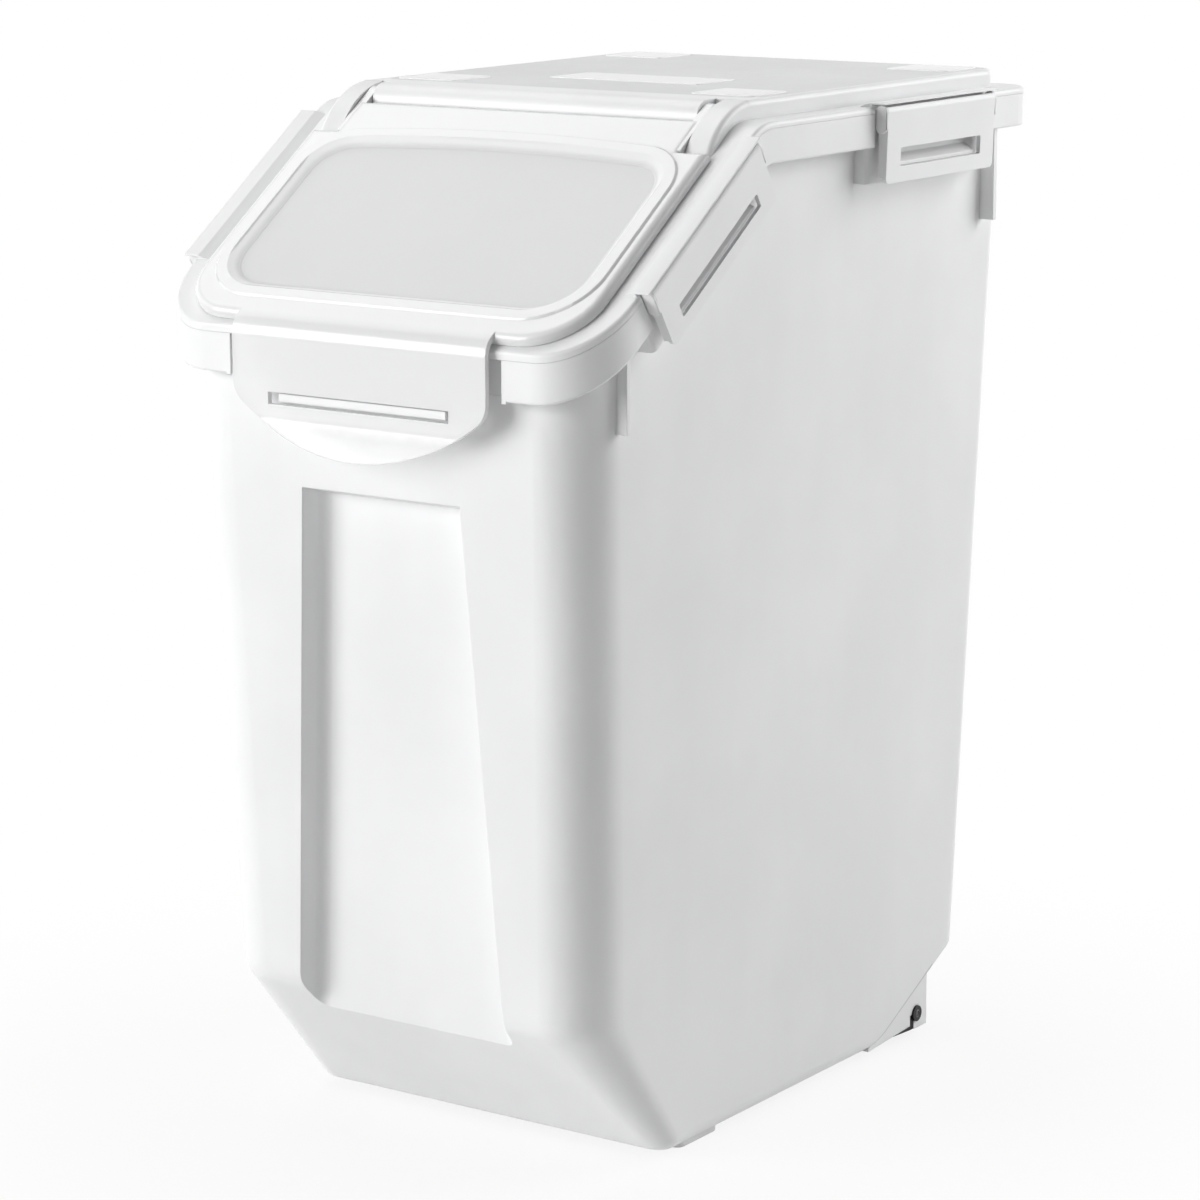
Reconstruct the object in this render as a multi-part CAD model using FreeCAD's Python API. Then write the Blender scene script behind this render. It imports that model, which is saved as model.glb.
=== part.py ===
import FreeCAD, Part
import math
import os

# A rolling food storage bin: a drafted tub with a sloped front, a lift-off lid held by four
# side latches, a clear flap over the sloped mouth, and two small wheels under the rear edge.
# X is the width, Y the depth with the front towards minus Y, and Z is up from the floor.
# Millimetres throughout. The origin is on the floor, under the middle of the bin.

V = FreeCAD.Vector
X_AXIS = V(1, 0, 0)
FAR = 400.0                   # reach of the cutting shapes, well outside the bin
NEAR = 0.01                   # two places closer than this count as the same

# Main sizes: the deck is the level top of the lid's flange, the fold, and the slope to the front
ground_gap = 4.5              # floor to the underside of the tub
deck_z = 471.0
rim_half = 122.4              # half width over the rim
rim_front_y = -185.5
rim_rear_y = 194.0
fold_y = -56.0                # where the level and the sloped deck would meet if unrounded
fold_r = 30.0                 # rounding of the fold
slope_deg = 34.5
slope = math.radians(slope_deg)
slope_run = fold_y - rim_front_y
slope_length = slope_run / math.cos(slope)
slope_foot_z = deck_z - slope_run * math.tan(slope)    # deck over the front of the rim

# Tub walls; rises are measured up from the underside
wall = 2.5
rim_reach = 19.9              # rim outside the tub's side, at the underside
tub_half = rim_half - rim_reach
side_draft = 0.024            # run per rise
front_reach = 23.0            # rim ahead of the front wall, carried down to the underside
front_y = rim_front_y + front_reach
front_draft = 0.040
rear_reach = 34.0
rear_y = rim_rear_y - rear_reach
rear_draft = 0.042
chamfer_rise = 71.0           # front lower chamfer, from its bend to the underside
chamfer_run = 63.5
chamfer_toe_y = front_y + chamfer_run
heel_rise = 43.5              # rear lower chamfer
heel_run = 82.5
heel_toe_y = rear_y - heel_run
front_corner_r = 27.0
rear_corner_r = 12.0
toe_corner_r = 12.0
underside_r = 8.0
chamfer_bend_r = 15.0
heel_bend_r = 14.0

# Rim round the top of the tub
rim_front_r = 32.0
rim_rear_r = 20.0
rim_drop = 18.5               # deck to the lower edge of the rim, square to the deck
rim_wall = 2.5
rim_edge_r = 1.0
lid_gap = 0.05                # lid flange above the rim, on which it sits

# Tab of the flap, over the rim at the front
tab_side = 52.9               # rim's side to the tab's
tab_half = rim_half - tab_side
tab_ahead = 4.5               # tab's face ahead of the rim
tab_face_y = rim_front_y - tab_ahead
tab_drop = 54.0               # foot of the slope to the tab's lower edge
tab_low_z = slope_foot_z - tab_drop
tab_sag = 25.64               # bow of the tab's lower edge, middle below its ends
tab_low_r = (tab_half ** 2 + tab_sag ** 2) / (2 * tab_sag)
tab_corner_r = 12.0
tab_thick = 2.4
tab_bend_r = 10.0
tab_lip_out = 4.0             # lip flare, ahead of the tab's face
tab_lip_height = 15.0
tab_slot_side = 19.9          # tab's side to the end of its slot
tab_slot_half = tab_half - tab_slot_side
tab_slot_rise = 21.5          # slot above the tab's lower edge
tab_slot_z = tab_low_z + tab_slot_rise
tab_slot_height = 5.4
tab_bay_clear = 5.0           # rim set back this far past each side of the tab
tab_bay_depth = 4.0
tab_root = 8.0                # tab's strip runs this far up under the brim
catch_gap = 0.4               # catch ribs short of the piece they hold
ledge_end_clear = 3.6
ledge_half = tab_slot_half - ledge_end_clear    # front catch ledge, behind the tab's slot
ledge_height = 3.8

# Front recess
recess_below_tab = 17.5
recess_top_rise = tab_low_z - ground_gap - recess_below_tab
recess_top_side = 58.8        # tub's side to the side of the recess's top
recess_top_half = tub_half - recess_top_side
recess_flare = 0.0604         # half width gained per drop
recess_depth = 12.0
recess_draft = 3.5
recess_floor_r = 6.0
recess_low_rise = 20.0        # the recess runs out through the chamfer above this

# Stiffening fins under the rim
fin_thick = 3.0
rear_fin_inset = 2.6          # fins inside the rim's side
rear_fin_half = rim_half - rear_fin_inset
front_fin_inset = 6.1
front_fin_half = rim_half - front_fin_inset
front_fin_set = 34.5
front_fin_y = rim_front_y + front_fin_set
front_fin_length = 38.0
rear_fin_set = 37.0
rear_fin_y = rim_rear_y - rear_fin_set
rear_fin_length = 44.0

# Lid
flange_thick = 3.0
flange_edge_r = 1.8
lid_wall = 2.4
plateau_rise = 8.5
plateau_set = 13.9            # plateau inside the rim's side
plateau_half = rim_half - plateau_set
plateau_rear_set = 12.5
plateau_rear_y = rim_rear_y - plateau_rear_set
plateau_rear_r = 14.0
plateau_edge_r = 2.5
plug_clear = 1.6              # plug inside the tub's inner wall at the deck
plug_wall = 2.0
plug_depth = 11.0
seal_thick = 1.0
seal_height = 3.0

# Flap hinge at the front of the plateau
hinge_r = 8.0                 # roll of the plateau's front edge, about the hinge axis
hinge_back = 4.0              # hinge axis behind the fold
lug_thick = 4.5
lug_r = 6.4
arm_drop = 0.4                # lug's arm below the top of the flap's brim
lug_side_clear = 0.5
lug_round_clear = 0.6
cheek_thick = 12.5
slot_width = lug_thick + 2 * lug_side_clear
bar_half = plateau_half - cheek_thick - slot_width    # half length of the roll between the slots
pin_r = 2.0
pin_clear = 0.05
pin_bite = 12.0               # pin length inside the roll
pin_cover = 4.5               # cheek wall left outside the pin
cheek_back = 14.0             # plateau's top runs level to here, then rounds down over the fold
cheek_start_y = fold_y + cheek_back
cheek_ahead = 21.5            # front end of the cheeks beside the flap
cheek_reach_y = fold_y - cheek_ahead
cheek_end_rise = 2.0          # blunt end of the cheeks above the deck
cheek_tie = 14.0              # cheeks run this far into the plateau
hinge_gap = 0.5               # flap to the roll and to the cheeks

# Clear flap; s is measured down the slope from the fold, n square to it
flap_side_proud = 1.5         # flap wider than the plateau
flap_half = plateau_half + flap_side_proud
flap_front_set = 3.64         # front of the rim to the flap's, along the slope
flap_front_s = slope_length - flap_front_set
flap_corner_r = 30.0
flap_wall = 2.2
flap_lift = 0.4               # flap edge above the deck
brim_n = 5.0                  # top of the flap's brim
ring_n = 5.9                  # top of the ring round the window
ring_width = 6.0
ring_bevel = 0.8
flap_edge_r = 3.6
window_side = 11.0
window_half = flap_half - window_side
window_top_s = 31.5
window_brim = 16.7
window_front_s = flap_front_s - window_brim
window_top_r = 22.0
window_bow_ratio = 22.0       # half span of the window's bowed top edge over its rise
window_bow = (window_half - window_top_r) / window_bow_ratio
window_front_r = 26.0
window_depth = 3.3
window_draft = 5.5            # run of the window's sloped wall
mouth_margin = 2.0            # lid mouth outside the window's sunk floor
flap_seal_width = 4.0
flap_seal_gap = 0.5           # seal outside the window's well
flap_seal_lift = 0.3          # seal above the deck

# Side latches; each clips on a bead along the edge of the lid
latch_length = 99.0
rear_latch_set = 102.7        # rear of the rim to the latch's middle
rear_latch_y = rim_rear_y - rear_latch_set
front_latch_set = 93.14       # front of the rim to the latch's middle, along the slope
front_latch_s = slope_length - front_latch_set
bead_r = 1.4
bead_clear = 0.08
bead_out = 2.6                # bead axis outside the rim's side
bead_x = rim_half + bead_out
bead_depth = 2.4              # bead axis below the deck
bead_web = 1.0
roll_r = 3.2                  # outside of the latch's roll round the bead
roll_start_deg = -140.0
roll_end_deg = 50.0
latch_set = 3.0               # latch plate's inner face outside the rim
latch_lean = 1.2              # outer face of the plate leans in towards its lower edge
latch_corner_r = 3.0
latch_return = 2.4            # returns at the plate's ends, inside it
latch_return_thick = 2.2
latch_return_top = 8.0        # deck to the top of the returns
rear_latch_drop = 35.2        # deck to the latch's lower edge
rear_slot_top = 19.2
rear_slot_low = 27.8
front_latch_drop = 30.2
front_slot_top = 17.2
front_slot_low = 24.2
latch_slot_half = 37.0
latch_slot_r = 0.9
latch_end_clear = 2.0
swing_clear = 0.4
pad_extra = 5.0               # catch pad past each end of the latch
rib_half = 35.0
rib_share = 0.6               # rib's height as a share of the slot's

# Rear wheels, axle and the hangers that carry them
axle_set = 33.8               # axle ahead of the rear wall's foot
axle_y = rear_y - axle_set
axle_r = 4.0
axle_bore_r = 2.0
axle_fit = 0.05
wheel_r = 12.0
wheel_width = 22.0
tyre_thick = 2.2
tyre_edge_r = 1.0
hanger_set = 2.5              # outer hangers inside the tub's side
hanger_half = tub_half - hanger_set
hanger_thick = 4.0
hanger_behind = 10.3
hanger_rear_y = axle_y + hanger_behind
hanger_low_z = 4.2
hanger_gap = 5.0              # wheel to the inner hanger
entry_width = 3.8             # slot that the axle snaps in through, under the outer hangers' bores
entry_set = 2.0               # slot ahead of the axle's middle
entry_ramp = 40.0             # lead-in of that slot, along the hanger's lower edge
entry_ramp_rise = 2.4
clip_thick = 2.0
clip_r = 6.5
clip_slot_clear = 0.3         # clip's tail inside the snap-in slot
clip_foot = 16.0              # tail's foot, along the hanger's lower edge
clip_foot_z = 4.4
clip_face_set = 0.2           # tail inside the hanger's outer face
axle_proud = 1.0
wheel_end_gap = 3.0           # wheel to the clip
wheel_outer_x = hanger_half - hanger_thick - clip_thick - wheel_end_gap

# Feet, top mat, corner pads and label
foot_behind_toe = 19.5
foot_front_y = chamfer_toe_y + foot_behind_toe
foot_length = 33.0
foot_set = 7.5                # feet inside the tub's side
foot_half = tub_half - foot_set
foot_width = 24.0
foot_corner_r = 4.5
foot_edge_r = 1.5
mat_thick = 1.0
mat_behind_fold = 22.0
mat_front_y = fold_y + mat_behind_fold
mat_margin = 3.5
mat_corner_r = 10.0
pad_length = 34.0
pad_width = 30.0
pad_inset = 5.0
pad_corner_r = 2.5
pad_thick = 0.6
label_half = 42.0
label_behind_front = 64.0     # mat's front edge to the middle of the label
label_y = mat_front_y + label_behind_front
label_width = 32.0
label_thick = 0.5
label_corner_r = 1.0

# Values worked out from the sizes above
slope_place = FreeCAD.Placement(V(0, fold_y, deck_z), FreeCAD.Rotation(X_AXIS, slope_deg))
level_place = FreeCAD.Placement(V(0, 0, deck_z), FreeCAD.Rotation())
hinge_z = deck_z + plateau_rise - hinge_r
hinge_y = fold_y + hinge_back
rim_depth = flange_thick + lid_gap
plateau_z = deck_z + plateau_rise
lug_half = bar_half + lug_side_clear + lug_thick
slot_r = lug_r + lug_round_clear
slot_rear_y = hinge_y + slot_r
hollow_front_y = slot_rear_y + lid_wall
axle_z = wheel_r
pin_end_x = plateau_half - pin_cover
hinge_s = (fold_y - hinge_y) * math.cos(slope) - (hinge_z - deck_z) * math.sin(slope)
hinge_n = (fold_y - hinge_y) * math.sin(slope) + (hinge_z - deck_z) * math.cos(slope)
flap_top_s = hinge_s + hinge_r + hinge_gap
latch_in_x = rim_half + latch_set
latch_out_x = bead_x + roll_r
bay_x = bead_x - roll_r - swing_clear
bay_depth = bead_depth + roll_r + swing_clear
pad_x = rim_half - rim_wall
inner_hanger_x = wheel_outer_x - wheel_width - hanger_gap


def deck_z_at(y):
    """Height of the deck on its sloped part."""
    return deck_z - (fold_y - y) * math.tan(slope)


cheek_swing = math.hypot(hinge_y - cheek_reach_y, hinge_z - deck_z_at(cheek_reach_y))
flap_shoulder_s = hinge_s + cheek_swing + hinge_gap


def tub_half_at(z):
    return tub_half + side_draft * (z - ground_gap)


def tub_front_at(z):
    return front_y - front_draft * (z - ground_gap)


def tub_rear_at(z):
    return rear_y + rear_draft * (z - ground_gap)


def arc(centre, radius, start_deg, end_deg, place):
    """An arc in a plane; place turns two coordinates into a point."""
    def point(angle):
        turn = math.radians(angle)
        return place(centre[0] + radius * math.cos(turn), centre[1] + radius * math.sin(turn))
    middle = (start_deg + end_deg) / 2
    return Part.Arc(point(start_deg), point(middle), point(end_deg)).toShape()


def polygon(points):
    return Part.makePolygon(points + [points[0]])


def plan_outline(half, low_y, high_y, low_r, high_r, z=0.0):
    """A rectangle in plan with one corner radius at its front and another at its rear."""
    def place(x, y):
        return V(x, y, z)
    edges = [
        Part.makeLine(place(low_r - half, low_y), place(half - low_r, low_y)),
        arc((half - low_r, low_y + low_r), low_r, -90, 0, place),
        Part.makeLine(place(half, low_y + low_r), place(half, high_y - high_r)),
        arc((half - high_r, high_y - high_r), high_r, 0, 90, place),
        Part.makeLine(place(half - high_r, high_y), place(high_r - half, high_y)),
        arc((high_r - half, high_y - high_r), high_r, 90, 180, place),
        Part.makeLine(place(-half, high_y - high_r), place(-half, low_y + low_r)),
        arc((low_r - half, low_y + low_r), low_r, 180, 270, place),
    ]
    return Part.Wire(edges)


def prism(wire, low_z, high_z):
    """A closed plan outline drawn at height 0, made solid between two heights."""
    solid = Part.Face(wire).extrude(V(0, 0, high_z - low_z))
    solid.translate(V(0, 0, low_z))
    return solid


def across(wire, low_x, high_x):
    """A closed outline drawn in the plane of the side view, made solid across the width."""
    solid = Part.Face(wire).extrude(V(high_x - low_x, 0, 0))
    solid.translate(V(low_x, 0, 0))
    return solid


def side_points(points):
    return polygon([V(0, y, z) for y, z in points])


def box(low, high):
    size = V(*high) - V(*low)
    return Part.makeBox(size.x, size.y, size.z, V(*low))


def both_sides(shape):
    return [shape, shape.mirror(V(0, 0, 0), X_AXIS)]


def deck_line(depth):
    """Level line, fold arc and slope line at a depth below the deck, rear to front."""
    centre = (fold_y + fold_r * math.tan(slope / 2), deck_z - fold_r)
    radius = fold_r - depth

    def place(y, z):
        return V(0, y, z)
    bend = arc(centre, radius, 90, 90 + slope_deg, place)
    start = place(centre[0], centre[1] + radius)
    end = place(centre[0] - radius * math.sin(slope), centre[1] + radius * math.cos(slope))
    run = FAR + end.y
    front = place(-FAR, end.z - run * math.tan(slope))
    return [Part.makeLine(place(FAR, start.z), start), bend, Part.makeLine(end, front)]


def deck_band(upper, lower):
    """All between two depths below the deck, over the whole plan."""
    top = deck_line(upper)
    bottom = deck_line(lower)
    first = Part.makeLine(bottom[0].Vertexes[0].Point, top[0].Vertexes[0].Point)
    last = Part.makeLine(top[2].Vertexes[-1].Point, bottom[2].Vertexes[-1].Point)
    return across(Part.Wire(Part.__sortEdges__(top + bottom + [first, last])), -FAR, FAR)


def below_deck(depth):
    """All below a depth under the deck."""
    top = deck_line(depth)
    rear = top[0].Vertexes[0].Point
    front = top[2].Vertexes[-1].Point
    rear_low = V(0, rear.y, -2 * FAR)
    front_low = V(0, front.y, -2 * FAR)
    sides = [
        Part.makeLine(rear_low, rear),
        Part.makeLine(front, front_low),
        Part.makeLine(front_low, rear_low),
    ]
    return across(Part.Wire(Part.__sortEdges__(top + sides)), -FAR, FAR)


def depth_of(point):
    """Depth of a point below the deck."""
    centre_y = fold_y + fold_r * math.tan(slope / 2)
    if point.y >= centre_y:
        return deck_z - point.z
    drop = (point.y - fold_y) * math.sin(slope) - (point.z - deck_z) * math.cos(slope)
    along = (point.y - fold_y) * math.cos(slope) + (point.z - deck_z) * math.sin(slope)
    if along <= -fold_r * math.tan(slope / 2):
        return drop
    return fold_r - math.hypot(point.y - centre_y, point.z - deck_z + fold_r)


def edges_at_depth(shape, depth):
    """Edges that follow the deck at one depth."""
    found = []
    for edge in shape.Edges:
        if all(abs(depth_of(point) - depth) < NEAR for point in edge.discretize(Number=5)):
            found.append(edge)
    return found


def tub_loft(inset):
    """The tub's outer form, or the same form with every wall moved inwards."""
    bend_z = ground_gap + chamfer_rise
    run = chamfer_toe_y - tub_front_at(bend_z)
    length = math.hypot(run, chamfer_rise)
    shift = inset * length / chamfer_rise
    low_z = ground_gap + inset
    low_front = chamfer_toe_y - run * inset / chamfer_rise + shift
    bend_z += (shift - inset) / (run / chamfer_rise - front_draft)
    top_z = deck_z + fold_r

    def section(z, front, front_r):
        half = tub_half_at(z) - inset
        return plan_outline(half, front, tub_rear_at(z) - inset, front_r - inset, rear_corner_r - inset, z)
    sections = [
        section(low_z, low_front, toe_corner_r),
        section(bend_z, tub_front_at(bend_z) + inset, front_corner_r),
        section(top_z, tub_front_at(top_z) + inset, front_corner_r),
    ]
    return Part.makeLoft(sections, True, True)


def heel_wedge(inset):
    """What the rear lower chamfer and its bend into the rear wall take off, moved inwards."""
    end_z = ground_gap + heel_rise
    heel = V(0, tub_rear_at(end_z) - heel_toe_y, heel_rise).normalize()
    rear = V(0, rear_draft, 1).normalize()
    toe = V(0, heel_toe_y - inset * heel.z, ground_gap + inset * heel.y)
    run = (tub_rear_at(toe.z) - inset - toe.y) / (heel.y - rear_draft * heel.z)
    corner = toe + heel * run
    inner = (rear - heel).normalize()
    half_angle = rear.getAngle(-heel) / 2
    radius = heel_bend_r - inset
    reach = radius / math.tan(half_angle)
    centre = corner + inner * (radius / math.sin(half_angle))
    start = corner - heel * FAR
    bend_start = corner - heel * reach
    bend_end = corner + rear * reach
    out_high = V(0, FAR, bend_end.z)
    out_low = V(0, FAR, start.z)
    edges = [
        Part.makeLine(start, bend_start),
        Part.Arc(bend_start, centre - inner * radius, bend_end).toShape(),
        Part.makeLine(bend_end, out_high),
        Part.makeLine(out_high, out_low),
        Part.makeLine(out_low, start),
    ]
    return across(Part.Wire(edges), -FAR, FAR)


def edges_at(shape, z):
    """Edges that lie in a level plane."""
    return [e for e in shape.Edges if abs(e.BoundBox.ZMin - z) < NEAR and abs(e.BoundBox.ZMax - z) < NEAR]


def tub_form():
    solid = tub_loft(0.0)
    bend = [e for e in edges_at(solid, ground_gap + chamfer_rise) if e.BoundBox.YMax < chamfer_toe_y]
    solid = solid.makeFillet(chamfer_bend_r, bend)
    solid = solid.makeFillet(underside_r, edges_at(solid, ground_gap))
    return solid.cut(heel_wedge(0.0))


def rim_prism(inset):
    outline = plan_outline(rim_half - inset, rim_front_y + inset, rim_rear_y - inset,
                           rim_front_r - inset, rim_rear_r - inset)
    return prism(outline, 0, deck_z + fold_r)


def local_box(half_y, low_x, high_x, low_n, high_n):
    return box((low_x, -half_y, low_n), (high_x, half_y, high_n))


def stations():
    """Name, place, drop and slot of the right-hand latches: the level rear one and the sloped front one."""
    rear = level_place.multiply(FreeCAD.Placement(V(0, rear_latch_y, 0), FreeCAD.Rotation()))
    front = slope_place.multiply(FreeCAD.Placement(V(0, -front_latch_s, 0), FreeCAD.Rotation()))
    return [("rear", rear, (rear_latch_drop, rear_slot_top, rear_slot_low)),
            ("front", front, (front_latch_drop, front_slot_top, front_slot_low))]


def placed(shape, place):
    copy = shape.copy()
    copy.Placement = place.multiply(copy.Placement)
    return copy


def at_stations(shape):
    """Copies of a shape at all four latches."""
    copies = []
    for name, place, sizes in stations():
        copies += both_sides(placed(shape, place))
    return copies


def rim():
    band = deck_band(rim_depth, rim_drop)
    solid = rim_prism(0.0).common(band)
    solid = solid.makeFillet(rim_edge_r, edges_at_depth(solid, rim_drop))
    solid = solid.cut(rim_prism(rim_wall).common(below_deck(rim_depth + rim_wall)))
    tab_bay_half = tab_half + tab_bay_clear
    bay_y = rim_front_y + tab_bay_depth
    lining = box((-tab_bay_half - rim_wall, rim_front_y, 0),
                 (tab_bay_half + rim_wall, bay_y + rim_wall, FAR + deck_z))
    solid = solid.fuse(lining.common(band))
    solid = solid.cut(box((-tab_bay_half, -FAR, 0), (tab_bay_half, bay_y, FAR + deck_z)))
    half = latch_length / 2 + latch_end_clear
    lining = box((bay_x - rim_wall, -half - rim_wall, -bay_depth - rim_wall), (rim_half, half + rim_wall, 0))
    bay = box((bay_x, -half, -bay_depth), (FAR, half, fold_r))
    bay = bay.fuse(box((pad_x, -half, -rim_drop - bay_depth), (FAR, half, 0)))
    solid = solid.fuse([piece.common(band) for piece in at_stations(lining)])
    return solid.cut(at_stations(bay))


def catch_pad(drop, slot_top, slot_low):
    """Block under the rim that backs a latch, with the rib that stands in the latch's slot."""
    half = latch_length / 2 + pad_extra
    block = local_box(half, tub_half, pad_x, -drop, -rim_depth - rim_wall)
    corners = [e for e in block.Edges if e.BoundBox.XMin > pad_x - NEAR and e.BoundBox.YLength < NEAR]
    block = block.makeFillet(rim_wall, corners)
    tip_x = latch_in_x - catch_gap
    rib_height = rib_share * (slot_low - slot_top)
    outline = [
        (pad_x - wall, rib_height - slot_low),
        (pad_x, rib_height - slot_low),
        (tip_x, rib_height / 3 - slot_low),
        (tip_x, -slot_low),
        (pad_x - wall, -slot_low),
    ]
    rib = Part.Face(polygon([V(x, -rib_half, n) for x, n in outline])).extrude(V(0, 2 * rib_half, 0))
    return block.fuse(rib)


def fins():
    front_low = deck_z_at(front_fin_y) - rim_drop / math.cos(slope) - front_fin_length
    rear_low = deck_z - rim_drop - rear_fin_length
    under = below_deck(rim_depth)
    solids = []
    fronts = (front_fin_y, front_low, front_fin_half)
    rears = (rear_fin_y, rear_low, rear_fin_half)
    for y, low, half in [fronts, rears]:
        plate = box((0, y - fin_thick / 2, low), (half, y + fin_thick / 2, deck_z))
        solids += both_sides(plate.common(under))
    return solids


def heel_z_at(y):
    end_z = ground_gap + heel_rise
    return ground_gap + heel_rise * (y - heel_toe_y) / (tub_rear_at(end_z) - heel_toe_y)


def axle_rod(radius, low_x, high_x):
    return Part.makeCylinder(radius, high_x - low_x, V(low_x, axle_y, axle_z), X_AXIS)


def wheel_hangers():
    """Plates under the rear chamfer that carry the axle, with the snap-in slot of the outer pair."""
    start_y = heel_toe_y + wall
    outline = side_points([
        (start_y, hanger_low_z),
        (hanger_rear_y, hanger_low_z),
        (hanger_rear_y, heel_z_at(hanger_rear_y) + wall / 2),
        (start_y, heel_z_at(start_y) + wall / 2),
    ])
    bore = axle_rod(axle_r + axle_fit, -FAR, FAR)
    near_y = axle_y - entry_set
    far_y = near_y - entry_width
    entry = side_points([
        (far_y - entry_ramp, hanger_low_z - wall),
        (far_y - entry_ramp, hanger_low_z),
        (far_y, hanger_low_z + entry_ramp_rise),
        (far_y, axle_z),
        (near_y, axle_z),
        (near_y, hanger_low_z - wall),
    ])
    solids = []
    for outer_x in [hanger_half, inner_hanger_x]:
        plate = across(outline, outer_x - hanger_thick, outer_x).cut(bore)
        if outer_x == hanger_half:
            plate = plate.cut(across(entry, outer_x - hanger_thick, outer_x))
        solids += both_sides(plate)
    return solids


def recess_form(grow):
    """Front recess, tapered towards its floor; grown by the wall it is the boss inside the tub."""
    def corners(t, sink):
        rows = []
        for rise, top in [(recess_low_rise, 0.0), (recess_top_rise, 1.0)]:
            half = recess_top_half + recess_flare * (recess_top_rise - rise) + grow - recess_draft * t
            z = ground_gap + rise + top * (grow - recess_draft * t)
            y = tub_front_at(ground_gap + rise) + recess_depth * t + sink
            rows.append([V(-half, y, z), V(half, y, z)])
        return polygon([rows[0][0], rows[0][1], rows[1][1], rows[1][0]])
    form = Part.makeLoft([corners(-1.0, 0.0), corners(1.0, grow)], True, True)
    floor_y = tub_front_at(ground_gap + recess_top_rise) + recess_depth
    upright = [e for e in form.Edges if e.BoundBox.ZLength > recess_top_half]
    floor = [e for e in upright if e.BoundBox.YMin > floor_y - NEAR]
    return form.makeFillet(recess_floor_r + grow, floor)


def bin_body():
    ledge_z = tab_slot_z + (tab_slot_height - ledge_height) / 2
    ledge_tip_y = tab_face_y + tab_thick + catch_gap
    ledge = box((-ledge_half, ledge_tip_y, ledge_z), (ledge_half, 0, ledge_z + ledge_height))
    pads = []
    for name, place, sizes in stations():
        pad = placed(catch_pad(*sizes), place).common(below_deck(rim_depth))
        pads += both_sides(pad)
    solid = tub_form().common(below_deck(rim_depth))
    solid = solid.fuse([rim(), ledge] + pads + fins() + wheel_hangers())
    cavity = tub_loft(wall).cut(heel_wedge(wall)).cut(recess_form(wall))
    return solid.cut(recess_form(0.0)).cut(cavity).removeSplitter()


def plug_prism(inset):
    """Plan of the lid's plug, clear of the tub's inner walls down to its lowest corner."""
    low_z = deck_z_at(rim_front_y) - plug_depth / math.cos(slope)
    gap = wall + plug_clear + inset
    outline = plan_outline(tub_half_at(low_z) - gap, tub_front_at(low_z) + gap,
                           tub_rear_at(deck_z - plug_depth) - gap, front_corner_r - gap, rear_corner_r - gap)
    return prism(outline, 0, deck_z + fold_r)


def hinge_rod(radius, low_x, high_x):
    return Part.makeCylinder(radius, high_x - low_x, V(low_x, hinge_y, hinge_z), X_AXIS)


def plateau():
    """Raised rear part of the lid: a roll in front, hinge slots beside it, and cheeks outside them."""
    base_z = deck_z - flange_thick
    body_plan = plan_outline(plateau_half, hinge_y, plateau_rear_y, plateau_edge_r, plateau_rear_r)
    body = prism(body_plan, base_z, plateau_z)
    rear_edges = [e for e in edges_at(body, plateau_z) if e.BoundBox.YMax > slot_rear_y]
    body = body.makeFillet(plateau_edge_r, rear_edges)
    body = body.cut(box((bar_half, -FAR, 0), (FAR, slot_rear_y, FAR + deck_z)))
    body = body.cut(box((-FAR, -FAR, 0), (-bar_half, slot_rear_y, FAR + deck_z)))
    roll = hinge_rod(hinge_r, -bar_half, bar_half)
    end_z = deck_z_at(cheek_reach_y) + cheek_end_rise
    drop = plateau_z - end_z
    radius = ((cheek_start_y - cheek_reach_y) ** 2 + drop ** 2) / (2 * drop)
    turn = math.degrees(math.asin((cheek_start_y - cheek_reach_y) / radius))

    def place(y, z):
        return V(0, y, z)
    low_z = end_z - cheek_end_rise - flange_thick
    tie_y = slot_rear_y + cheek_tie
    crown = arc((cheek_start_y, plateau_z - radius), radius, 90, 90 + turn, place)
    crown_wire = Part.Wire([
        Part.makeLine(place(tie_y, plateau_z), place(cheek_start_y, plateau_z)),
        crown,
        Part.makeLine(place(cheek_reach_y, end_z), place(cheek_reach_y, low_z)),
        Part.makeLine(place(cheek_reach_y, low_z), place(tie_y, low_z)),
        Part.makeLine(place(tie_y, low_z), place(tie_y, plateau_z)),
    ])
    cheek = across(crown_wire, bar_half + slot_width, plateau_half)
    outer = [e for e in cheek.Edges if e.BoundBox.XMin > plateau_half - NEAR]
    brow = [e for e in outer if e.BoundBox.ZMin > end_z - NEAR]
    cheek = cheek.makeFillet(plateau_edge_r, brow)
    cheek = cheek.cut(below_deck(flange_thick))
    return body.fuse([roll] + both_sides(cheek))


def window_outline(grow, n=0.0):
    """Window of the flap in the slope's own frame; its top edge is bowed."""
    half = window_half + grow
    top = grow - window_top_s
    front = -window_front_s - grow
    top_r = window_top_r + grow
    front_r = window_front_r + grow

    def place(x, y):
        return V(x, y, n)
    bow = Part.Arc(place(half - top_r, top), place(0, top + window_bow), place(top_r - half, top)).toShape()
    edges = [
        Part.makeLine(place(front_r - half, front), place(half - front_r, front)),
        arc((half - front_r, front + front_r), front_r, -90, 0, place),
        Part.makeLine(place(half, front + front_r), place(half, top - top_r)),
        arc((half - top_r, top - top_r), top_r, 0, 90, place),
        bow,
        arc((top_r - half, top - top_r), top_r, 90, 180, place),
        Part.makeLine(place(-half, top - top_r), place(-half, front + front_r)),
        arc((front_r - half, front + front_r), front_r, 180, 270, place),
    ]
    return Part.Wire(edges)


def window_prism(grow, low_n, high_n):
    return prism(window_outline(grow), low_n, high_n)


def mat_plan(low_z, high_z):
    outline = plan_outline(plateau_half - mat_margin, mat_front_y, plateau_rear_y - mat_margin,
                           mat_corner_r, mat_corner_r)
    return prism(outline, low_z, high_z)


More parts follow.
